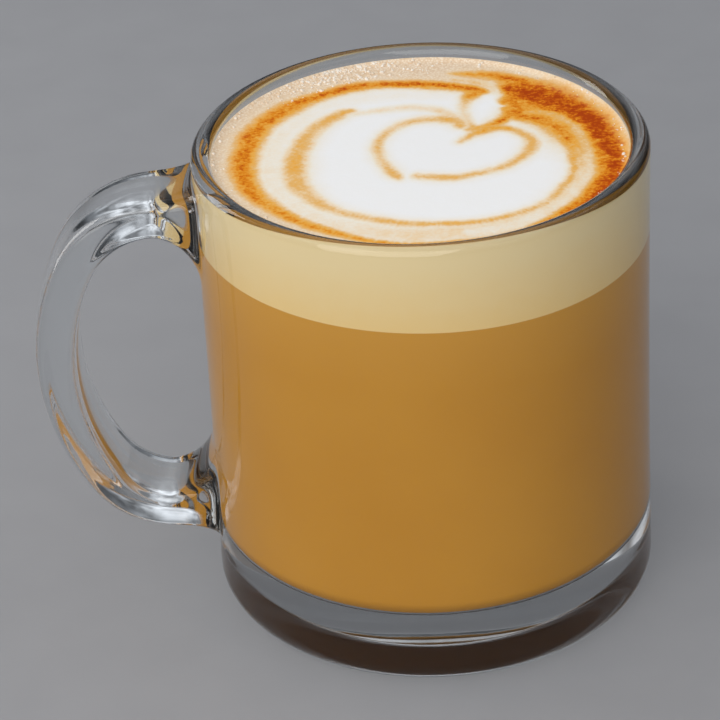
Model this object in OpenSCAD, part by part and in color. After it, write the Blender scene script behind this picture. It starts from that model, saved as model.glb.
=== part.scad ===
// Latte in a pressed glass mug: coffee with milk under a deep layer of milk foam.
// The mug stands on z = 0 with its axis on Z and its handle towards -X.
// Millimetres, +Z up.

/* [Mug body] */
// Outer diameter of the mug at its rim and at its base
mug_d = 86; // [72:0.5:104]
// Height of the mug
mug_h = 95; // [78:0.5:115]
// Thickness of the wall at the rim, which ends in a full round
rim_wall = 3.8; // [2.6:0.1:5]
// Thickness of the wall just above the rounded floor
low_wall = 4.8; // [3:0.1:7]
// Thickness of the heavy base under the drink
base_t = 13.6; // [8:0.1:18]
// Radius where the wall meets the floor inside
floor_r = 4; // [3:0.5:10]
// Radius of the heel, between the wall and the underside
heel_r = 5; // [3:0.5:8]
// How much the wall draws in at half height
waist = 0.25; // [0:0.05:1]
// Width of the flat ring that the mug stands on
foot_w = 3; // [2:0.5:6]
// Height of the recess under the base, which is level in the middle
push_up = 1.5; // [0.5:0.1:4]
// Width of the slope from the foot ring up to the level middle of the recess
slope_w = 12; // [4:0.5:18]

/* [Handle] */
// Width of the handle's strap, front to back
strap_w = 16.2; // [11:0.2:20]
// Thickness of the strap
strap_t = 8.1; // [6:0.1:10]
// How square the strap's section is: 2 is an ellipse, and more has fuller corners
strap_form = 4.6; // [2:0.1:5]
// Distance from the rim down to the middle of the upper arm
upper_drop = 11.4; // [10:0.2:16]
// Height of the middle of the lower arm
lower_z = 19.1; // [16:0.1:26]
// Straight run of both arms before they bend
arm_run = 6.8; // [4:0.1:12]
// Radius of the upper bend, to the middle of the strap
upper_bend = 18.5; // [14:0.5:23]
// Radius of the long back curve, to the middle of the strap
back_bend = 47.5; // [39:0.5:80]
// Radius of the lower bend, to the middle of the strap
lower_bend = 16.6; // [13:0.2:21]
// Length along an arm over which it flares out to the body
root_run = 9; // [3:0.1:11]
// How far the flare spreads along the wall, inside the loop
root_in = 11; // [3:0.1:14]
// How far the flare spreads along the wall, outside the loop
root_out = 2.4; // [1:0.1:4]
// How far the flare spreads at each side of an arm
root_side = 2.4; // [1:0.1:4]

/* [Drink] */
// Depth from the rim down to the top of the foam
headspace = 2.7; // [1.5:0.1:12]
// Depth of the foam layer at the mug's axis
foam_depth = 15.7; // [6:0.1:30]
// Slope of the line between foam and coffee, down towards +X, in degrees
foam_slope = 1.6; // [0:0.1:4]
// Width of the foam's edge that climbs the glass
edge_w = 1.8; // [0.5:0.1:3]
// Radius of the hollow curve of that edge
edge_r = 3; // [2.5:0.1:6]
// Clearance between the drink and the glass
fill_gap = 0.04; // [0.02:0.01:0.3]

/* [Hidden] */
$fn = 192;
mug_r = mug_d / 2;
lip_r = rim_wall / 2;
lip_z = mug_h - lip_r;
rim_in_r = mug_r - rim_wall;
low_in_r = mug_r - low_wall;
low_z = base_t + floor_r;
foot_in_r = mug_r - heel_r - foot_w;
slope_steps = 16;
waist_steps = 10;
// Handle mesh: points round the strap, degrees between rings on a bend, rings on an arm
ring_points = 24;
ring_angle = 6;
arm_rings = 6;
// How far the handle's ends are sunk in the wall, and the share of a flare that is left off there
root_sink = 1.6;
flare_end = 0.05;
foam_z = mug_h - headspace;
split_z = foam_z - foam_depth;
upper_z = mug_h - upper_drop;
arm_x = -(mug_r + arm_run);
big = 4 * (mug_d + mug_h);

// Centres of the three bends, [x, z]: the back curve is tangent to both end bends
upper_c = [arm_x, upper_z - upper_bend];
lower_c = [arm_x, lower_z + lower_bend];
upper_q = back_bend - upper_bend;
lower_q = back_bend - lower_bend;
between = upper_c[1] - lower_c[1];
along = (upper_q * upper_q - lower_q * lower_q + between * between) / (2 * between);
aside = sqrt(upper_q * upper_q - along * along);
back_c = [arm_x + aside, upper_c[1] - along];
// Angles at which the strap passes from one bend to the next
upper_end = 180 - atan2(upper_c[1] - back_c[1], aside);
lower_start = 180 + atan2(back_c[1] - lower_c[1], aside);

// Outer radius of the wall at height z: a shallow curve, narrowest at half height
function wall_r(z) =
    let (mid = (heel_r + lip_z) / 2, half = (lip_z - heel_r) / 2, s = (z - mid) / half)
    mug_r - waist * (1 - s * s);

// Half outline of the room for the drink, drawn in by gap
module cavity_outline(gap = 0) {
    translate([low_in_r - floor_r, low_z]) circle(r = floor_r - gap);
    translate([0, base_t + gap]) square([low_in_r - floor_r, floor_r]);
    polygon([
        [0, low_z], [low_in_r - gap, low_z], [rim_in_r - gap, lip_z],
        [rim_in_r - gap, mug_h + 1], [0, mug_h + 1]
    ]);
}

// Half outline of the recess under the base: its slope is level at both ends
module recess_outline() {
    polygon(concat(
        [[0, push_up], [0, -1], [foot_in_r, -1]],
        [for (i = [0 : slope_steps])
            let (s = i / slope_steps)
            [foot_in_r - slope_w * s, push_up * (1 - cos(180 * s)) / 2]]
    ));
}

// Half outline of the glass body: heel, drawn-in wall, floor, recess under the base, round lip
module body_outline() {
    difference() {
        union() {
            square([mug_r - heel_r, heel_r]);
            translate([mug_r - heel_r, heel_r]) circle(r = heel_r);
            polygon(concat(
                [[0, lip_z], [0, heel_r]],
                [for (i = [0 : waist_steps])
                    let (z = heel_r + (lip_z - heel_r) * i / waist_steps) [wall_r(z), z]]
            ));
        }
        cavity_outline();
        recess_outline();
    }
    translate([mug_r - lip_r, lip_z]) circle(r = lip_r);
}

// Number of rings on a bend between two angles
function ring_count(from, to) = ceil((to - from) / ring_angle);

// Stations [x, z, outward angle] along a bend, with its first one only if with_first
function bend(centre, radius, from, to, with_first = false) =
    let (n = ring_count(from, to))
    [for (i = [with_first ? 0 : 1 : n])
        let (a = from + (to - from) * i / n)
        [centre[0] + radius * cos(a), centre[1] + radius * sin(a), a]];

// Stations along an arm at height z, from inside the wall to just short of the bend
function arm(z, a) =
    concat(
        [[root_sink - mug_r, z, a]],
        [for (i = [0 : arm_rings - 1])
            [-mug_r - arm_run * (1 - cos(90 * i / arm_rings) * (1 - flare_end)), z, a]]
    );

// Growth of a side of the strap at distance u from the wall, for a flare that spreads by s there
function growth(u, s) =
    let (d = min(max(1 - u / root_run, 0), 1 - flare_end)) s * (1 - sqrt(1 - d * d));

// Keeps the sign of v while raising it to a power
function signed_pow(v, e) = sign(v) * pow(abs(v), e);

// One ring of points about a station: near the body it follows the round of the wall
function ring(st) =
    let (
        u = -st[0] - mug_r,
        hug = min(1, max(0, 1 - u / root_run)),
        out = strap_t / 2 + growth(u, root_out),
        inn = strap_t / 2 + growth(u, root_in),
        half = strap_w / 2 + growth(u, root_side)
    )
    [for (k = [0 : ring_points - 1])
        let (
            c = signed_pow(cos(360 * k / ring_points), 2 / strap_form),
            n = c * (c > 0 ? out : inn),
            y = half * signed_pow(sin(360 * k / ring_points), 2 / strap_form)
        )
        [
            st[0] + n * cos(st[2]) + hug * (mug_r - sqrt(mug_r * mug_r - y * y)),
            y,
            st[1] + n * sin(st[2])
        ]];

function reversed(list) = [for (i = [len(list) - 1 : -1 : 0]) list[i]];

module handle() {
    stations = concat(
        arm(upper_z, 90),
        bend(upper_c, upper_bend, 90, upper_end, with_first = true),
        bend(back_c, back_bend, upper_end, lower_start),
        bend(lower_c, lower_bend, lower_start, 270),
        reversed(arm(lower_z, 270))
    );
    m = ring_points;
    last = len(stations) - 1;
    polyhedron(
        points = [for (st = stations) each ring(st)],
        faces = concat(
            [[for (k = [0 : m - 1]) k]],
            [for (i = [0 : last - 1], k = [0 : m - 1])
                each let (
                    a = i * m + k,
                    b = i * m + (k + 1) % m
                ) [[a, a + m, b], [b, a + m, b + m]]],
            [[for (k = [m - 1 : -1 : 0]) last * m + k]]
        )
    );
}

module mug() {
    color([0.86, 0.9, 0.92, 0.4]) {
        rotate_extrude() body_outline();
        handle();
    }
}

// All of the drink, with the foam's edge climbing the glass
module drink() {
    rotate_extrude()
        intersection() {
            cavity_outline(fill_gap);
            union() {
                square([mug_r, foam_z]);
                difference() {
                    translate([rim_in_r - edge_w, foam_z]) square([edge_w, edge_r]);
                    translate([rim_in_r - edge_w, foam_z + edge_r]) circle(r = edge_r);
                }
            }
        }
}

// Everything below the line between foam and coffee
module below_foam() {
    translate([0, 0, split_z])
        rotate([0, foam_slope, 0])
            translate([-big / 2, -big / 2, -big]) cube(big);
}

module coffee() {
    color([0.68, 0.48, 0.27])
        intersection() {
            drink();
            below_foam();
        }
}

module foam() {
    color([0.93, 0.84, 0.7])
        difference() {
            drink();
            below_foam();
        }
}

mug();
coffee();
foam();
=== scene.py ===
import random
from math import acos, asin, atan2, ceil, copysign, cos, degrees, pi, radians, sin, sqrt

import bmesh
import bpy
import numpy as np
from mathutils import Matrix, Vector, noise


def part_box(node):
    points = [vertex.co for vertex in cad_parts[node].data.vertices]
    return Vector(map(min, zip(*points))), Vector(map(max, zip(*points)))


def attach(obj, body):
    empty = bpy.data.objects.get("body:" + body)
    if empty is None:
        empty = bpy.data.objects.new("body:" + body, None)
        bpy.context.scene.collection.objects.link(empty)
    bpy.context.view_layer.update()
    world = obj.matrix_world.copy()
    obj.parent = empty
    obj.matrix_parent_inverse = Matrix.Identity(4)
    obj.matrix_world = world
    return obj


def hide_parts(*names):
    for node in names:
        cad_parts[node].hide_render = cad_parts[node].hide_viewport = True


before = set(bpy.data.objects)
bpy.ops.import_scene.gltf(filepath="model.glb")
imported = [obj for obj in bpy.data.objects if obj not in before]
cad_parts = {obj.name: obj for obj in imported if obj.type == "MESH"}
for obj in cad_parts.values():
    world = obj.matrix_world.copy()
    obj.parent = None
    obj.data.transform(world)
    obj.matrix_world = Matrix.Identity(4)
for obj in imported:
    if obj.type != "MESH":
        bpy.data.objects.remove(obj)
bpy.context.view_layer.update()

# ---- Mug ---------------------------------------------------------------------------
# A mug of clear pressed glass with a heavy base. Its strap handle is pressed in the same
# mould and flares into the wall, and fire polishing has rounded every edge.
mm = 0.001
mug_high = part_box("mug")[1]
mug_r, mug_h = mug_high.x, mug_high.z
rim_wall, low_wall = 3.8 * mm, 4.8 * mm
base_t = 13.6 * mm
floor_r, heel_r, foot_w = 4 * mm, 5 * mm, 3 * mm
push_up, slope_w = 1.5 * mm, 12 * mm
waist = 0.25 * mm
lip_r = rim_wall / 2
lip_z = mug_h - lip_r
inner_rim, inner_low = mug_r - rim_wall, mug_r - low_wall
low_z = base_t + floor_r
foot_in = mug_r - heel_r - foot_w
around = 192
corner_steps = 14
merge_gap = 0.001 * mm
smooth_below = radians(50)
glass_index = 1.5

strap_w, strap_t, strap_form = 16.2 * mm, 8.1 * mm, 4.6
upper_z, lower_z = mug_h - 11.4 * mm, 19.1 * mm
arm_run, root_run = 6.8 * mm, 9 * mm
root_in, root_out, root_side = 11 * mm, 2.4 * mm, 2.4 * mm
upper_bend, back_bend, lower_bend = 18.5 * mm, 47.5 * mm, 16.6 * mm
section_points = 64
root_rings = 12
slope_rows = 24
heel_steps, lip_steps = 12, 16
end_bend_step, back_bend_step = radians(4), radians(2)


def wall_r(z):
    """Outer radius of the wall, which draws in a little at half height."""
    middle, half = (heel_r + lip_z) / 2, (lip_z - heel_r) / 2
    return mug_r - waist * (1 - ((z - middle) / half) ** 2)


def line_to(bm, vert, x, z, steps=1):
    """Runs the outline straight on from vert to x, z and returns its new end."""
    step = (Vector((x, 0, z)) - vert.co) / steps
    for _ in range(steps):
        made = bmesh.ops.extrude_vert_indiv(bm, verts=[vert])["verts"][0]
        made.co += step
        vert = made
    return vert


def arc_to(bm, vert, x, z, turn, steps):
    """Runs the outline round the centre x, z by turn degrees and returns its new end."""
    made = bmesh.ops.spin(bm, geom=[vert], cent=(x, 0, z), axis=(0, 1, 0),
                          angle=radians(turn), steps=steps)
    return [v for v in made["geom_last"] if isinstance(v, bmesh.types.BMVert)][0]


def turn_outline(bm, steps):
    """Spins the outline once round the mug's axis into a closed skin."""
    bmesh.ops.spin(bm, geom=bm.verts[:] + bm.edges[:], cent=(0, 0, 0), axis=(0, 0, 1),
                   angle=2 * pi, steps=steps, use_merge=True)
    bmesh.ops.remove_doubles(bm, verts=bm.verts, dist=merge_gap)


def signed_power(v, power):
    """Raises v to a power and keeps its sign."""
    return copysign(abs(v) ** power, v)


def growth(u, spread):
    """How far the flare stands out of the strap at distance u from the wall."""
    d = min(max(1 - u / root_run, 0), 1)
    return spread * (1 - sqrt(1 - d * d))


def place_ring(verts, turn_layer, station):
    """Puts a ring of the handle at a station: x, z and outward angle."""
    x, z, angle = station
    u = max(-x - mug_r, 0)
    hug = min(1, max(0, 1 - u / root_run))
    out = strap_t / 2 + growth(u, root_out)
    inn = strap_t / 2 + growth(u, root_in)
    half = strap_w / 2 + growth(u, root_side)
    for v in verts:
        t = 2 * pi * v[turn_layer] / section_points
        c = signed_power(cos(t), 2 / strap_form)
        n = c * (out if c > 0 else inn)
        y = half * signed_power(sin(t), 2 / strap_form)
        v.co.y = y
        v.co.z = z + n * sin(angle)
        v.co.x = x + n * cos(angle) + hug * (mug_r - sqrt(wall_r(v.co.z) ** 2 - y * y))


def station_on(centre, radius, angle):
    """The station at an angle on the bend round a centre."""
    return centre[0] + radius * cos(angle), centre[1] + radius * sin(angle), angle


def root_stations(level, centre, radius, side):
    """Stations through a flare, from the wall outwards: closer together at the wall."""
    found = []
    for i in range(root_rings + 1):
        u = root_run * (1 - cos(pi / 2 * i / root_rings))
        if u <= arm_run:
            found.append((-mug_r - u, level, side * pi / 2))
        else:
            angle = side * (pi / 2 + asin((u - arm_run) / radius))
            found.append(station_on(centre, radius, angle))
    return found


def bend_stations(centre, radius, start, end, step):
    """Stations along a bend, without its two ends."""
    count = ceil((end - start) / step)
    return [station_on(centre, radius, start + (end - start) * i / count)
            for i in range(1, count)]


def glass_skin():
    """The mug's whole surface: the body turned in one go, then the handle grown on to it."""
    bm = bmesh.new()
    vert = bm.verts.new((0, 0, push_up))
    vert = line_to(bm, vert, foot_in - slope_w, push_up, steps=8)
    for i in range(1, slope_rows + 1):
        s = i / slope_rows
        vert = line_to(bm, vert, foot_in - slope_w * (1 - s), push_up * (1 + cos(pi * s)) / 2)
    vert = line_to(bm, vert, mug_r - heel_r, 0, steps=2)
    vert = arc_to(bm, vert, mug_r - heel_r, heel_r, -90, heel_steps)
    roots = [lower_z - strap_t / 2 - root_out, lower_z, lower_z + strap_t / 2 + root_in,
             upper_z - strap_t / 2 - root_in, upper_z, upper_z + strap_t / 2 + root_out]
    half_side = section_points // 8
    wall_rows = [4, half_side, half_side, 20, half_side, half_side, 2]
    for top, rows in zip(roots + [lip_z], wall_rows):
        low = vert.co.z
        for i in range(1, rows + 1):
            z = low + (top - low) * i / rows
            vert = line_to(bm, vert, wall_r(z), z)
    vert = arc_to(bm, vert, mug_r - lip_r, lip_z, -180, lip_steps)
    vert = line_to(bm, vert, inner_low, low_z, steps=12)
    vert = arc_to(bm, vert, inner_low - floor_r, low_z, 90, corner_steps)
    line_to(bm, vert, 0, base_t, steps=8)
    turn_outline(bm, around)

    # A square window in the wall at each root: each side takes a quarter of a ring's points
    turn_layer = bm.verts.layers.int.new("turn")
    half_window = radians(360 / around) * (half_side + 0.01)
    slack = 1 * mm
    windows = []
    for low, high in (roots[0], roots[2]), (roots[3], roots[5]):
        inside = []
        for f in bm.faces:
            c = f.calc_center_median()
            angle = atan2(c.y, -c.x)
            if low < c.z < high and abs(angle) < half_window and c.xy.length > mug_r - slack:
                inside.append(f)
        bmesh.ops.delete(bm, geom=inside, context="FACES")
        windows.append([e for e in bm.edges if e.is_boundary
                        and low - slack < e.verts[0].co.z < high + slack])
    # Number the points round each window, from the middle of its side away from the loop
    for edges, side in (windows[0], -1), (windows[1], 1):
        verts = {v for e in edges for v in e.verts}
        central = [v for v in verts if abs(v.co.y) < 0.01 * mm]
        start = max(central, key=lambda v: side * v.co.z)
        ring, last = [start], None
        while len(ring) < len(verts):
            nexts = [e.other_vert(ring[-1]) for e in edges if ring[-1] in e.verts]
            nexts = [v for v in nexts if v is not last and v not in ring[1:]]
            last = ring[-1]
            ring.append(max(nexts, key=lambda v: v.co.y) if len(ring) == 1 else nexts[0])
        for i, v in enumerate(ring):
            v[turn_layer] = i

    # The handle grows out of the upper window ring by ring, and is joined to the lower one
    upper_c = (-mug_r - arm_run, upper_z - upper_bend)
    lower_c = (-mug_r - arm_run, lower_z + lower_bend)
    upper_q, lower_q = back_bend - upper_bend, back_bend - lower_bend
    between = upper_c[1] - lower_c[1]
    along = (upper_q ** 2 - lower_q ** 2 + between ** 2) / (2 * between)
    aside = sqrt(upper_q ** 2 - along ** 2)
    back_c = (upper_c[0] + aside, upper_c[1] - along)
    upper_end = pi - atan2(upper_c[1] - back_c[1], aside)
    lower_start = pi + atan2(back_c[1] - lower_c[1], aside)
    upper_root = root_stations(upper_z, upper_c, upper_bend, 1)
    lower_root = root_stations(lower_z, lower_c, lower_bend, -1)
    lower_root = [(x, z, a + 2 * pi) for x, z, a in lower_root]
    stations = upper_root[1:]
    stations += bend_stations(upper_c, upper_bend, upper_root[-1][2], upper_end, end_bend_step)
    stations.append(station_on(back_c, back_bend, upper_end))
    stations += bend_stations(back_c, back_bend, upper_end, lower_start, back_bend_step)
    stations.append(station_on(back_c, back_bend, lower_start))
    stations += bend_stations(lower_c, lower_bend, lower_start, lower_root[-1][2], end_bend_step)
    stations += lower_root[:0:-1]
    edges = windows[1]
    place_ring({v for e in edges for v in e.verts}, turn_layer, upper_root[0])
    place_ring({v for e in windows[0] for v in e.verts}, turn_layer, lower_root[0])
    for station in stations:
        made = bmesh.ops.extrude_edge_only(bm, edges=edges)["geom"]
        verts = {v for v in made if isinstance(v, bmesh.types.BMVert)}
        edges = [e for e in made if isinstance(e, bmesh.types.BMEdge)
                 and e.verts[0] in verts and e.verts[1] in verts]
        place_ring(verts, turn_layer, station)
    bmesh.ops.bridge_loops(bm, edges=edges + windows[0])
    bmesh.ops.recalc_face_normals(bm, faces=bm.faces)
    return bm


def make_piece(name, bm, materials):
    """Turns a finished bmesh into a smooth object that rides on the part."""
    mesh = bpy.data.meshes.new(name)
    bm.to_mesh(mesh)
    bm.free()
    mesh.shade_smooth()
    mesh.set_sharp_from_angle(angle=smooth_below)
    for material in materials:
        mesh.materials.append(material)
    piece = bpy.data.objects.new(name, mesh)
    bpy.context.scene.collection.objects.link(piece)
    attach(piece, "root")
    return piece


def new_material(name):
    """An empty node material: the material, its nodes, a Principled shader and an add-link call."""
    material = bpy.data.materials.new(name)
    material.use_nodes = True
    nodes, links = material.node_tree.nodes, material.node_tree.links
    return material, nodes, nodes["Principled BSDF"], links.new


def set_values(node, **values):
    """Sets sockets by name: an underscore stands for a space."""
    for key, value in values.items():
        node.inputs[key.replace("_", " ")].default_value = value
    return node


def clear_glass():
    material, nodes, glass, link = new_material("clear_glass")
    set_values(glass, Base_Color=(0.92, 0.945, 0.955, 1), IOR=glass_index,
               Transmission_Weight=1.0)
    where = nodes.new("ShaderNodeTexCoord")
    # Mould waves: a long, faint ripple that the fire polish leaves
    waves = set_values(nodes.new("ShaderNodeTexNoise"), Scale=55.0, Detail=1.0)
    bump = set_values(nodes.new("ShaderNodeBump"), Strength=0.12, Distance=0.3 * mm)
    link(where.outputs["Object"], waves.inputs["Vector"])
    link(waves.outputs["Fac"], bump.inputs["Height"])
    link(bump.outputs["Normal"], glass.inputs["Normal"])
    # Faint smears that dull the polish a little here and there
    smears = set_values(nodes.new("ShaderNodeTexNoise"), Scale=90.0, Detail=4.0)
    dull = set_values(nodes.new("ShaderNodeMapRange"), From_Min=0.45, From_Max=0.75,
                      To_Min=0.0, To_Max=0.02)
    link(where.outputs["Object"], smears.inputs["Vector"])
    link(smears.outputs["Fac"], dull.inputs["Value"])
    link(dull.outputs["Result"], glass.inputs["Roughness"])
    # Light on its way to the drink and to the floor passes the glass unbent
    path = nodes.new("ShaderNodeLightPath")
    through = nodes.new("ShaderNodeBsdfTransparent")
    through.inputs["Color"].default_value = (0.93, 0.94, 0.94, 1)
    out = nodes["Material Output"]
    surface = glass.outputs["BSDF"]
    for ray in "Is Shadow Ray", "Is Diffuse Ray":
        mix = nodes.new("ShaderNodeMixShader")
        link(path.outputs[ray], mix.inputs[0])
        link(surface, mix.inputs[1])
        link(through.outputs["BSDF"], mix.inputs[2])
        surface = mix.outputs[0]
    link(surface, out.inputs["Surface"])
    return material


mug = make_piece("mug_glass", glass_skin(), [clear_glass()])
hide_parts("mug")

# ---- Coffee ------------------------------------------------------------------------
# Espresso stirred into hot milk, filling the mug up to the foam. It wets the glass, so its
# skin lies just inside the wall.
wet = 0.15 * mm
coffee_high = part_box("coffee")[1]
foam_low, foam_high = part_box("foam")
foam_slope = radians(1.6)
split_z = (coffee_high.z + foam_low.z) / 2
coffee_index = 1.34
# The second depth is how far up the painted shade on the drink's underside reaches
pale_depth, underside_shade_depth = 14 * mm, 3 * mm


def inner_wall(z):
    """Radius of the wall's inner face."""
    share = (z - low_z) / (lip_z - low_z)
    return inner_low + (inner_rim - inner_low) * share


def cut_at_foam(bm, keep_below):
    """Cuts a solid at the sloping line between foam and coffee and closes it."""
    normal = Vector((sin(foam_slope), 0, cos(foam_slope)))
    cut = bmesh.ops.bisect_plane(bm, geom=bm.verts[:] + bm.edges[:] + bm.faces[:],
                                 dist=merge_gap, plane_co=(0, 0, split_z), plane_no=normal,
                                 clear_outer=keep_below, clear_inner=not keep_below)
    edges = [e for e in cut["geom_cut"] if isinstance(e, bmesh.types.BMEdge)]
    bmesh.ops.contextual_create(bm, geom=edges)


def coffee_skin():
    """The coffee's surface, drawn past the foam line and then cut off there."""
    bm = bmesh.new()
    vert = bm.verts.new((0, 0, base_t - wet))
    vert = line_to(bm, vert, inner_low - floor_r, base_t - wet, steps=6)
    vert = arc_to(bm, vert, inner_low - floor_r, low_z, -90, corner_steps)
    vert.co.x = inner_low + wet
    top = foam_high.z
    line_to(bm, vert, inner_wall(top) + wet, top, steps=16)
    turn_outline(bm, around)
    cut_at_foam(bm, True)
    bmesh.ops.recalc_face_normals(bm, faces=bm.faces)
    return bm


def srgb(r, g, b):
    """A colour from 0-255 screen values."""
    linear = [((v / 255 + 0.055) / 1.055) ** 2.4 if v > 10 else v / 255 / 12.92 for v in (r, g, b)]
    return (*linear, 1)


def colour_ramp(nodes, stops):
    """A colour ramp node with its stops given in order as position and colour."""
    node = nodes.new("ShaderNodeValToRGB")
    elements = node.color_ramp.elements
    for i, (at, colour) in enumerate(stops):
        stop = elements[i] if i < 2 else elements.new(at)
        stop.position, stop.color = at, colour
    return node


def colour_mix(nodes, blend="MIX"):
    """A node that mixes colour B over colour A by its Factor."""
    node = nodes.new("ShaderNodeMix")
    node.data_type, node.blend_type = "RGBA", blend
    return node


def wet_contact(material, link, index):
    """Adds the mirror that the drink makes against the glass, strongest at low angles."""
    nodes = material.node_tree.nodes
    mirror = set_values(nodes.new("ShaderNodeBsdfGlossy"), Roughness=0.0)
    grazing = set_values(nodes.new("ShaderNodeFresnel"), IOR=index / glass_index)
    mix = nodes.new("ShaderNodeMixShader")
    link(grazing.outputs["Fac"], mix.inputs[0])
    link(nodes["Principled BSDF"].outputs["BSDF"], mix.inputs[1])
    link(mirror.outputs["BSDF"], mix.inputs[2])
    link(mix.outputs[0], nodes["Material Output"].inputs["Surface"])


def milky_coffee():
    material, nodes, shader, link = new_material("milky_coffee")
    set_values(shader, Roughness=0.9, Specular_IOR_Level=0.0)
    wet_contact(material, link, coffee_index)
    where = nodes.new("ShaderNodeTexCoord")
    split = nodes.new("ShaderNodeSeparateXYZ")
    link(where.outputs["Object"], split.inputs["Vector"])
    # The coffee grows paler towards the foam
    height = set_values(nodes.new("ShaderNodeMapRange"), From_Min=coffee_high.z - pale_depth,
                        From_Max=coffee_high.z)
    link(split.outputs["Z"], height.inputs["Value"])
    clouds = set_values(nodes.new("ShaderNodeTexNoise"), Scale=32.0, Detail=3.0)
    link(where.outputs["Object"], clouds.inputs["Vector"])
    shade = colour_ramp(nodes, [(0.3, srgb(200, 138, 44)), (0.75, srgb(206, 145, 50))])
    link(clouds.outputs["Fac"], shade.inputs["Fac"])
    upper = colour_mix(nodes)
    upper.inputs["B"].default_value = srgb(212, 152, 60)
    link(height.outputs["Result"], upper.inputs["Factor"])
    link(shade.outputs["Color"], upper.inputs["A"])
    # Painted shade darkens the lowest part of the drink, where it is seen through the base
    underside_shade = set_values(nodes.new("ShaderNodeMapRange"), From_Min=base_t - wet,
                         From_Max=base_t + underside_shade_depth)
    link(split.outputs["Z"], underside_shade.inputs["Value"])
    share = colour_ramp(nodes, [(0, srgb(255, 255, 255)), (0.3, srgb(235, 235, 235)),
                                (0.5, srgb(120, 120, 120)), (1, srgb(0, 0, 0))])
    tint = colour_ramp(nodes, [(0, srgb(132, 80, 12)), (0.06, srgb(60, 34, 8)),
                               (0.3, srgb(48, 28, 8)), (0.5, srgb(120, 70, 20))])
    link(underside_shade.outputs["Result"], share.inputs["Fac"])
    link(underside_shade.outputs["Result"], tint.inputs["Fac"])
    lower = colour_mix(nodes)
    link(tint.outputs["Color"], lower.inputs["B"])
    link(share.outputs["Color"], lower.inputs["Factor"])
    link(upper.outputs["Result"], lower.inputs["A"])
    link(lower.outputs["Result"], shader.inputs["Base Color"])
    return material


coffee = make_piece("milk_coffee", coffee_skin(), [milky_coffee()])
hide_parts("coffee")

# ---- Foam --------------------------------------------------------------------------
# Steamed milk foam, poured last, so that it floats on the coffee and its edge climbs the
# glass. Its top carries the crema that the pour pushed aside, in a ring, a spiral and a heart.
foam_z = mug_h - 2.7 * mm
edge_w, edge_r = 1.8 * mm, 3 * mm
foam_around = 512
ring_step = 0.4 * mm
climb_steps = 6
speckle = 0.3
# Foam is mostly air, so it bends light much less than the coffee does
foam_index = 1.12

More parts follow.
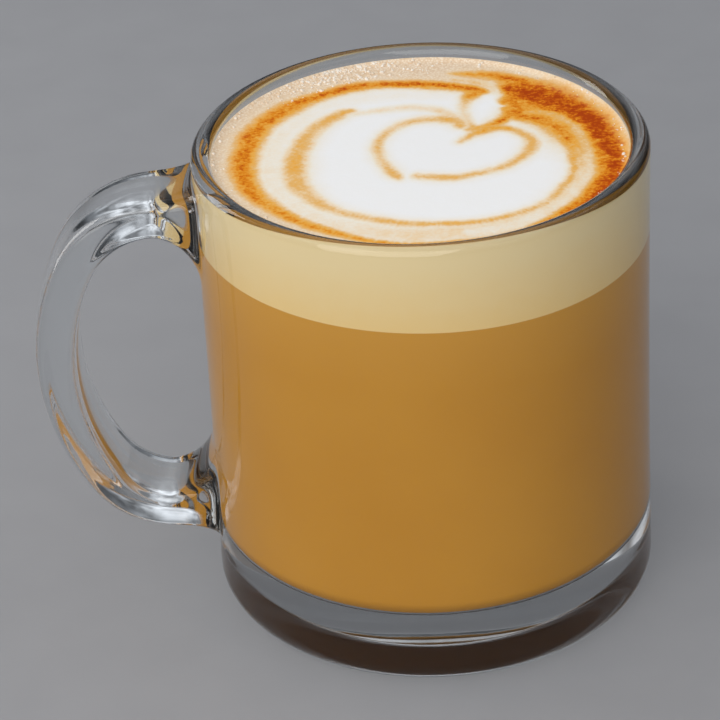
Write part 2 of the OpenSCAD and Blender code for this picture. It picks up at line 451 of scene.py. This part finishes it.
# The pour, in order: each stroke is a list of points (x, y, half width, tone), with lengths
# in mm. Tone runs from 0, white milk, to 1, the darkest crema, and a later stroke covers an
# earlier one. The white pool is (x, y, radius), and a current is (size, reach).
white_pool = (0, -3, 32.5)
pool_soft, pool_tone, edge_tone = 1, 0.02, 0.26
currents = (9.0, 0.6), (1.7, 0.2)
current_seed = 7
soft_edge, soft_share = 0.42, 0.5
core_rim, core_rise = 0.86, 0.2
veil_depth, veil_reach, veil_share = 0.42, 0.5, 0.75
veil_full, veil_clears = 0.3, 0.6
strokes = {
    "cream_lane": [
        (6, 24, 2.4, .08), (-5, 24.5, 2.6, .09), (-14, 22.4, 2.8, .1), (-21.5, 17, 3.4, .12),
        (-27, 9, 4, .14), (-28.6, 0, 4, .15), (-28, -9, 3.8, .16), (-25, -17, 3.4, .16),
        (-19.5, -24.5, 3, .18), (-11, -30, 3, .22), (0, -32.6, 3, .27), (9, -32, 2.8, .27),
        (17, -29, 2.6, .25), (24.5, -22.6, 2.4, .2), (29.4, -14, 2, .18), (30.5, -4, 2, .2)],
    "ring": [
        (13, 24.4, 1.2, .75), (9, 26.4, 1.4, .8), (2, 28.4, 1.5, .82), (-7, 29.1, 1.5, .82),
        (-15, 27.3, 1.9, .79), (-22, 23, 2.2, .75), (-28.5, 16.2, 2.4, .74),
        (-32.2, 8, 2.4, .74), (-33.4, 0, 2.3, .74), (-32.8, -8, 2.2, .74),
        (-30, -15.6, 1.9, .72), (-25, -22.8, 1.5, .72), (-18, -29.2, 1.1, .72),
        (-9, -34, .9, .72), (0, -36, .8, .74), (9, -35.8, .8, .76),
        (18, -32.6, 1, .74), (25, -27.6, 1.7, .78)],
    "upper_strand": [
        (6.5, 32.6, .9, .42), (11, 31.9, 1.5, .6), (16, 30, 2, .72), (20, 27.4, 2.2, .85)],
    "orange_field": [
        (17.5, 19, 2.6, .72), (21, 14, 3, .7), (26, 11, 4, .7), (30, 4, 4, .7), (32.5, -4, 3, .7),
        (33, -12, 3, .7), (30, -19, 2.6, .72), (25, -25.5, 2.4, .74)],
    "dark_patch": [
        (18, 24.5, 2.8, .87), (22.3, 22.8, 4.9, .92), (27.6, 17.6, 4.6, .93),
        (32.2, 10.6, 3.8, .94), (35, 3, 3, .95), (36, -5, 2.3, .93), (35, -13, 2.2, .9),
        (31.6, -20.5, 2, .87),
        (26, -27.3, 1.8, .8)],
    "light_band": [
        (20, 14.6, .8, .5), (24, 13.9, 1, .46), (28.1, 9.6, 1.1, .44), (30.6, 3, 1.1, .42),
        (31.2, -5, 1.2, .3), (30.6, -12, 1.3, .24), (27.8, -18.6, 1.3, .22),
        (23, -24.8, 1.2, .2), (16, -30, 1.2, .18), (8, -32.4, 1, .16)],
    "spiral": [
        (18.4, 18, 1.8, .72), (19, 13.4, 1.8, .72), (22.6, 11.2, 1.8, .76), (25.8, 8, 1.7, .74),
        (27.8, 2.5, 1.4, .66), (28.3, -4, 1, .55), (27.9, -11, .9, .5), (25.6, -17.6, .9, .46),
        (21.2, -23.2, .8, .45), (15, -27, .8, .48), (7, -28.7, .9, .52), (0, -28.5, .9, .5),
        (-8, -26.4, 1, .45), (-15, -22.6, 1.2, .42), (-20, -17, 1.6, .42),
        (-22.8, -10.5, 2, .46), (-23.4, -3.5, 2.1, .5), (-22.6, 3, 1.9, .46),
        (-20.8, 9, 1.7, .43), (-18, 13.6, 1.5, .46), (-14.5, 16.8, 1.3, .5),
        (-12.8, 17.8, .9, .48)],
    "faint_arc": [
        (-12.5, 16.3, .8, .2), (-7, 17.6, 1, .22), (-1, 18.3, 1.2, .24), (4, 16.8, 1.2, .26),
        (7.5, 13.5, 1.1, .3)],
    "stub": [(12.6, 24.8, 1.4, .76), (11, 23.8, 1.5, .74), (9.8, 22.2, 1.2, .6)],
    "tail": [
        (9.2, 20.6, 1, .44), (8.6, 18, 1, .28), (8.6, 15, 1, .25), (9.2, 11.8, 1, .3),
        (10, 9.5, .9, .4)],
    "cream_strand": [(7, 30, .7, .36), (11, 28.6, .9, .36), (14.5, 25.6, 1.1, .26),
                     (15.3, 22.4, 1.1, .16)],
    "blob": [(13.6, 21.6, 1.4, .04), (13.1, 17.4, 2, 0), (12.9, 13.2, .9, .04)],
    "blob_side": [(14, 18, 1, 0), (16.4, 17.8, .3, .14)],
    "notch": [(9.3, 8, .8, .45), (12.2, 8.8, 1, .6), (14.8, 10.4, 1.2, .7),
              (16.8, 13, 1.3, .72), (17.8, 15.6, 1.3, .72)],
    "heart_left": [
        (7.6, 9.8, 1.1, .48), (6.8, 12, 1.5, .46), (4.4, 13, 1.4, .44), (1, 13.2, 1.1, .4),
        (-3, 11.6, 1, .38), (-6, 8.4, 1, .4), (-7.6, 3.5, 1, .41), (-7.5, -1.5, 1, .4),
        (-6.2, -5.8, 1.1, .43), (-4.8, -8.6, 1.1, .48), (-3.9, -9.9, .8, .45)],
    "heart_right": [
        (-.5, -10, .8, .42), (3, -10.8, 1, .48), (7, -11, 1, .46), (12, -9.4, .9, .42),
        (16.5, -6.8, .9, .42), (19.6, -3, 1, .43), (21, .8, 1.2, .45), (20.4, 4.4, 1.1, .46),
        (18.2, 7, 1, .48), (15.3, 8.4, 1.2, .58), (12.3, 7.6, 1.3, .6), (9.8, 5.6, 1, .48),
        (7.3, 3.2, .7, .32)],
}


def smooth_line(points, steps=8):
    """A smooth line through the points, with every value between them eased in too."""
    p = np.array(points, float)
    p = np.vstack([2 * p[0] - p[1], p, 2 * p[-1] - p[-2]])
    found = []
    for i in range(1, len(p) - 2):
        for t in np.arange(steps) / steps:
            a, b, c, d = p[i - 1:i + 3]
            found.append(0.5 * (2 * b + (c - a) * t + (2 * a - 5 * b + 4 * c - d) * t * t
                                + (3 * b - a - 3 * c + d) * t ** 3))
    return np.vstack(found + [p[-2]])


def ease(v):
    """Runs smoothly from 0 to 1 as v does."""
    v = np.clip(v, 0, 1)
    return v * v * (3 - 2 * v)


def wobble(places, size, reach):
    """Moves places by a smooth random field, as slow currents in the foam would."""
    moved = places.copy()
    for i, (x, y) in enumerate(places):
        v = noise.noise_vector(Vector((x / size, y / size, 0.5)))
        moved[i] += reach * np.array(v[:2])
    return moved


def pour(places):
    """The crema's tone and the share of plain edge foam at each place, in mm."""
    flow = places
    for size, reach in currents:
        flow = wobble(flow, size, reach)
    pool = np.hypot(flow[:, 0] - white_pool[0], flow[:, 1] - white_pool[1])
    inside = ease((white_pool[2] + pool_soft - pool) / (2 * pool_soft))
    tone = edge_tone + (pool_tone - edge_tone) * inside
    edge = 1 - inside
    for points in strokes.values():
        line = smooth_line(points)
        gap = np.full(len(flow), np.inf)
        width, depth = np.zeros(len(flow)), np.zeros(len(flow))
        for x, y, w, d in line:
            away = np.hypot(flow[:, 0] - x, flow[:, 1] - y)
            near = away - w < gap
            gap[near], width[near], depth[near] = (away - w)[near], w, d
        # A soft edge, deepest in the middle, and a veil where milk and crema have mixed
        cover = ease(0.5 - gap / (2 * (soft_edge + soft_share * width)))
        core = depth * (core_rim + core_rise * np.clip(-gap / width, 0, 1))
        veil = veil_depth * depth * np.exp(-np.maximum(gap, 0) / (veil_reach + veil_share * width))
        tone += np.maximum(veil - tone, 0) * (1 - cover) + (core - tone) * cover
        edge *= (1 - cover) * (1 - veil_clears * np.minimum(veil / veil_full, 1))
    return tone, edge


def foam_skin():
    """The foam's surface: level top, climbing edge, side, and the foam line underneath."""
    bm = bmesh.new()
    top_r = inner_wall(foam_high.z) + wet
    vert = bm.verts.new((0, 0, foam_z))
    flat = top_r - wet - edge_w
    vert = line_to(bm, vert, flat, foam_z, round(flat / ring_step))
    climb = degrees(acos(1 - (foam_high.z - foam_z) / edge_r))
    vert = arc_to(bm, vert, flat, foam_z + edge_r, -climb, climb_steps)
    vert = line_to(bm, vert, top_r, vert.co.z)
    below = split_z - 2 * mm
    line_to(bm, vert, inner_wall(below) + wet, below, steps=10)
    turn_outline(bm, foam_around)
    cut_at_foam(bm, False)
    bmesh.ops.recalc_face_normals(bm, faces=bm.faces)
    # The top and its climbing edge take the crema, and the rest takes the side's material
    for f in bm.faces:
        f.material_index = 1 if f.normal.z > 0.5 else 0
    return bm


def foam_side():
    material, nodes, shader, link = new_material("foam_side")
    set_values(shader, Roughness=0.9, Specular_IOR_Level=0.0)
    wet_contact(material, link, foam_index)
    where = nodes.new("ShaderNodeTexCoord")
    split = nodes.new("ShaderNodeSeparateXYZ")
    link(where.outputs["Object"], split.inputs["Vector"])
    # The foam holds more coffee towards its lower edge
    height = set_values(nodes.new("ShaderNodeMapRange"), From_Min=split_z, From_Max=foam_z)
    link(split.outputs["Z"], height.inputs["Value"])
    fine = set_values(nodes.new("ShaderNodeTexNoise"), Scale=260.0, Detail=4.0)
    link(where.outputs["Object"], fine.inputs["Vector"])
    add = nodes.new("ShaderNodeMath")
    add.operation = "MULTIPLY_ADD"
    link(fine.outputs["Fac"], add.inputs[0])
    add.inputs[1].default_value = speckle
    link(height.outputs["Result"], add.inputs[2])
    shade = colour_ramp(nodes, [(0.1, srgb(246, 208, 138)), (1, srgb(248, 222, 168))])
    link(add.outputs[0], shade.inputs["Fac"])
    link(shade.outputs["Color"], shader.inputs["Base Color"])
    return material


def foam_top():
    material, nodes, shader, link = new_material("foam_top")
    set_values(shader, Roughness=0.7, IOR=1.2, Specular_IOR_Level=0.2)
    where = nodes.new("ShaderNodeTexCoord")
    tone = nodes.new("ShaderNodeAttribute")
    tone.attribute_name = "crema"
    # Crema is grainy: tiny dark and light flecks, more of them where it is deep
    grain = set_values(nodes.new("ShaderNodeTexNoise"), Scale=1500.0, Detail=3.0)
    blotch = set_values(nodes.new("ShaderNodeTexNoise"), Scale=350.0, Detail=4.0)
    link(where.outputs["Object"], grain.inputs["Vector"])
    link(where.outputs["Object"], blotch.inputs["Vector"])
    flecks = nodes.new("ShaderNodeMath")
    flecks.operation = "ADD"
    link(grain.outputs["Fac"], flecks.inputs[0])
    link(blotch.outputs["Fac"], flecks.inputs[1])
    centred = set_values(nodes.new("ShaderNodeMapRange"), From_Min=0.6, From_Max=1.4,
                         To_Min=-0.3, To_Max=0.3)
    link(flecks.outputs[0], centred.inputs["Value"])
    grown = nodes.new("ShaderNodeMath")
    grown.operation = "MULTIPLY_ADD"
    link(centred.outputs["Result"], grown.inputs[0])
    link(tone.outputs["Fac"], grown.inputs[1])
    link(tone.outputs["Fac"], grown.inputs[2])
    shade = colour_ramp(nodes, [(0, srgb(244, 244, 244)), (0.15, srgb(243, 233, 215)),
                                (0.3, srgb(241, 213, 172)), (0.45, srgb(235, 185, 112)),
                                (0.6, srgb(238, 172, 72)), (0.75, srgb(228, 140, 30)),
                                (0.88, srgb(203, 96, 14)), (1, srgb(176, 66, 10))])
    link(grown.outputs[0], shade.inputs["Fac"])
    edge = nodes.new("ShaderNodeAttribute")
    edge.attribute_name = "edge_foam"
    # Plain foam out by the glass is full of pinhead bubbles: a painted highlight on each bubble's
    # top and painted shade in the seams between them
    bubble_light_cells = set_values(nodes.new("ShaderNodeTexVoronoi"), Scale=2200.0)
    link(where.outputs["Object"], bubble_light_cells.inputs["Vector"])
    froth_highlight_and_seam_shade = colour_ramp(nodes, [(0.1, srgb(246, 232, 214)), (0.35, srgb(237, 214, 186)),
                                (0.75, srgb(226, 196, 162))])
    link(bubble_light_cells.outputs["Distance"], froth_highlight_and_seam_shade.inputs["Fac"])
    mix = colour_mix(nodes)
    link(froth_highlight_and_seam_shade.outputs["Color"], mix.inputs["B"])
    link(edge.outputs["Fac"], mix.inputs["Factor"])
    link(shade.outputs["Color"], mix.inputs["A"])
    link(mix.outputs["Result"], shader.inputs["Base Color"])
    bump = set_values(nodes.new("ShaderNodeBump"), Strength=0.25, Distance=0.1 * mm)
    link(flecks.outputs[0], bump.inputs["Height"])
    link(bump.outputs["Normal"], shader.inputs["Normal"])
    return material


foam = make_piece("milk_foam", foam_skin(), [foam_side(), foam_top()])
# Without a seed the currents would start from the clock and differ each time
noise.seed_set(current_seed)
spots = np.array([v.co.xy for v in foam.data.vertices]) / mm
for name, values in zip(("crema", "edge_foam"), pour(spots)):
    layer = foam.data.attributes.new(name, "FLOAT", "POINT")
    layer.data.foreach_set("value", values.astype(np.float32))
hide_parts("foam")

# ---- Bubbles -----------------------------------------------------------------------
# Coarse bubbles that the pour left against the glass. Most of them sit at the back, to the
# left, where the milk went in last; they stick to the foam's climbing edge.
bubble_count = 650
bubble_size = (0.1, 0.4)
# The crowd: its share of the bubbles, its middle and spread in degrees round the rim, and how
# far in from the glass it reaches, next to how far the other bubbles do
crowded = 0.75
crowd_angle, crowd_spread = 115, 11
crowd_reach, other_reach = 6 * mm, 2.2 * mm


def bubble_patch():
    pick = random.Random(11)
    bm = bmesh.new()
    for _ in range(bubble_count):
        in_crowd = pick.random() < crowded
        angle = radians(pick.gauss(crowd_angle, crowd_spread) if in_crowd
                        else pick.uniform(0, 360))
        reach = crowd_reach if in_crowd else other_reach
        size = (bubble_size[0] + (bubble_size[1] - bubble_size[0]) * pick.random() ** 3) * mm
        r = inner_wall(foam_z) - size - reach * pick.random() ** 1.7
        over = max(0, r - (inner_rim - edge_w))
        z = foam_z + edge_r - sqrt(edge_r ** 2 - over ** 2)
        place = Matrix.Translation((r * cos(angle), r * sin(angle), z))
        bmesh.ops.create_icosphere(bm, subdivisions=2, radius=size, matrix=place)
    return bm


def bubble_film():
    material, nodes, shader, link = new_material("bubble_film")
    set_values(shader, Roughness=0.3, IOR=1.33, Coat_Weight=0.2, Coat_Roughness=0.1)
    where = nodes.new("ShaderNodeTexCoord")
    tint = set_values(nodes.new("ShaderNodeTexNoise"), Scale=700.0, Detail=2.0)
    link(where.outputs["Object"], tint.inputs["Vector"])
    shade = colour_ramp(nodes, [(0.35, srgb(226, 202, 172)), (0.6, srgb(242, 234, 222))])
    link(tint.outputs["Fac"], shade.inputs["Fac"])
    link(shade.outputs["Color"], shader.inputs["Base Color"])
    return material


bubbles = make_piece("foam_bubbles", bubble_patch(), [bubble_film()])
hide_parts("foam")

# ---- Studio ------------------------------------------------------------------------
# A painted grey floor, a room that is bright overhead, and two soft boxes. The camera looks
# down on the front of the mug.
floor_radius = 3.0
floor_gap = 0.05 * mm
lamp_colour = (1, 0.98, 0.95)
aim = Vector((0, 0, mug_h / 2))
camera_distance = 650 * mm
light_bounces = 24


def studio_floor():
    bm = bmesh.new()
    bmesh.ops.create_circle(bm, cap_ends=True, segments=96, radius=floor_radius,
                            matrix=Matrix.Translation((0, 0, -floor_gap)))
    mesh = bpy.data.meshes.new("floor")
    bm.to_mesh(mesh)
    bm.free()
    material, nodes, shader, link = new_material("floor_paint")
    set_values(shader, Roughness=0.85, Specular_IOR_Level=0.2)
    where = nodes.new("ShaderNodeTexCoord")
    mottle = set_values(nodes.new("ShaderNodeTexNoise"), Scale=60.0, Detail=6.0)
    link(where.outputs["Object"], mottle.inputs["Vector"])
    shade = colour_ramp(nodes, [(0, srgb(148, 148, 150)), (1, srgb(155, 155, 157))])
    link(mottle.outputs["Fac"], shade.inputs["Fac"])
    # Painted shade: the floor darkens away from the mug as if the light fell off, which gives the
    # glass darker tones to bend
    away = nodes.new("ShaderNodeVectorMath")
    away.operation = "LENGTH"
    link(where.outputs["Object"], away.inputs[0])
    light_falloff = set_values(nodes.new("ShaderNodeMapRange"), From_Min=0.35, From_Max=1.1,
                      To_Min=1.0, To_Max=0.35)
    link(away.outputs["Value"], light_falloff.inputs["Value"])
    painted_falloff = colour_mix(nodes, "MULTIPLY")
    painted_falloff.inputs["Factor"].default_value = 1.0
    link(shade.outputs["Color"], painted_falloff.inputs["A"])
    link(light_falloff.outputs["Result"], painted_falloff.inputs["B"])
    link(painted_falloff.outputs["Result"], shader.inputs["Base Color"])
    mesh.materials.append(material)
    floor = bpy.data.objects.new("floor", mesh)
    bpy.context.scene.collection.objects.link(floor)


def soft_box(name, azimuth, elevation, distance, size, power):
    """An area lamp aimed at the mug: azimuth 0 is the front, 90 the right side."""
    a, e = radians(azimuth), radians(elevation)
    toward = Vector((sin(a) * cos(e), -cos(a) * cos(e), sin(e)))
    lamp = bpy.data.lights.new(name, "AREA")
    lamp.shape, lamp.size, lamp.size_y, lamp.energy = "RECTANGLE", size[0], size[1], power
    lamp.color = lamp_colour
    holder = bpy.data.objects.new(name, lamp)
    holder.location = toward * distance + aim
    holder.rotation_mode = "QUATERNION"
    holder.rotation_quaternion = toward.to_track_quat("Z", "Y")
    # It lights the mug and is mirrored in it, but isn't seen through the glass
    holder.visible_transmission = False
    bpy.context.scene.collection.objects.link(holder)


def studio_air():
    world = bpy.data.worlds.new("studio")
    bpy.context.scene.world = world
    world.use_nodes = True
    nodes, link = world.node_tree.nodes, world.node_tree.links.new
    where = nodes.new("ShaderNodeTexCoord")
    split = nodes.new("ShaderNodeSeparateXYZ")
    shade = colour_ramp(nodes, [(0, (0.035, 0.04, 0.045, 1)), (0.3, (0.16, 0.17, 0.185, 1)),
                                (0.8, (0.8, 0.83, 0.88, 1))])
    link(where.outputs["Generated"], split.inputs["Vector"])
    link(split.outputs["Z"], shade.inputs["Fac"])
    # Soft lighter and darker patches, as in any room: the glass needs something to bend
    patches = set_values(nodes.new("ShaderNodeTexNoise"), Scale=3.0, Detail=3.0)
    level = set_values(nodes.new("ShaderNodeMapRange"), From_Min=0.35, From_Max=0.65,
                       To_Min=0.25, To_Max=1.7)
    link(where.outputs["Generated"], patches.inputs["Vector"])
    link(patches.outputs["Fac"], level.inputs["Value"])
    room = colour_mix(nodes, "MULTIPLY")
    room.inputs["Factor"].default_value = 1.0
    link(shade.outputs["Color"], room.inputs["A"])
    link(level.outputs["Result"], room.inputs["B"])
    # The camera itself sees a plain grey
    path = nodes.new("ShaderNodeLightPath")
    mix = colour_mix(nodes)
    mix.inputs["B"].default_value = (0.45, 0.45, 0.46, 1)
    link(path.outputs["Is Camera Ray"], mix.inputs["Factor"])
    link(room.outputs["Result"], mix.inputs["A"])
    link(mix.outputs["Result"], nodes["Background"].inputs["Color"])


def studio_camera():
    tilt, swing, roll = radians(30.77), radians(1.169), radians(-2.33)
    back = Vector((0, -cos(tilt), sin(tilt)))
    camera = bpy.data.cameras.new("camera")
    camera.lens, camera.sensor_width = 167.65, 36
    camera.clip_start = 0.01
    holder = bpy.data.objects.new("camera", camera)
    turn = back.to_track_quat("Z", "Y").to_matrix()
    turn = turn @ Matrix.Rotation(swing, 3, "Y") @ Matrix.Rotation(roll, 3, "Z")
    place = Matrix.Translation(back * camera_distance + aim)
    holder.matrix_world = place @ turn.to_4x4()
    bpy.context.scene.collection.objects.link(holder)
    bpy.context.scene.camera = holder


studio_floor()
soft_box("key", azimuth=-20, elevation=32, distance=1.1, size=(1.2, 1.2), power=9.4)
soft_box("edge", azimuth=-112, elevation=16, distance=0.8, size=(0.25, 0.6), power=1.6)
studio_air()
studio_camera()
scene = bpy.context.scene
scene.view_settings.view_transform = "Standard"
scene.cycles.max_bounces = light_bounces
scene.cycles.glossy_bounces = light_bounces
scene.cycles.transmission_bounces = light_bounces
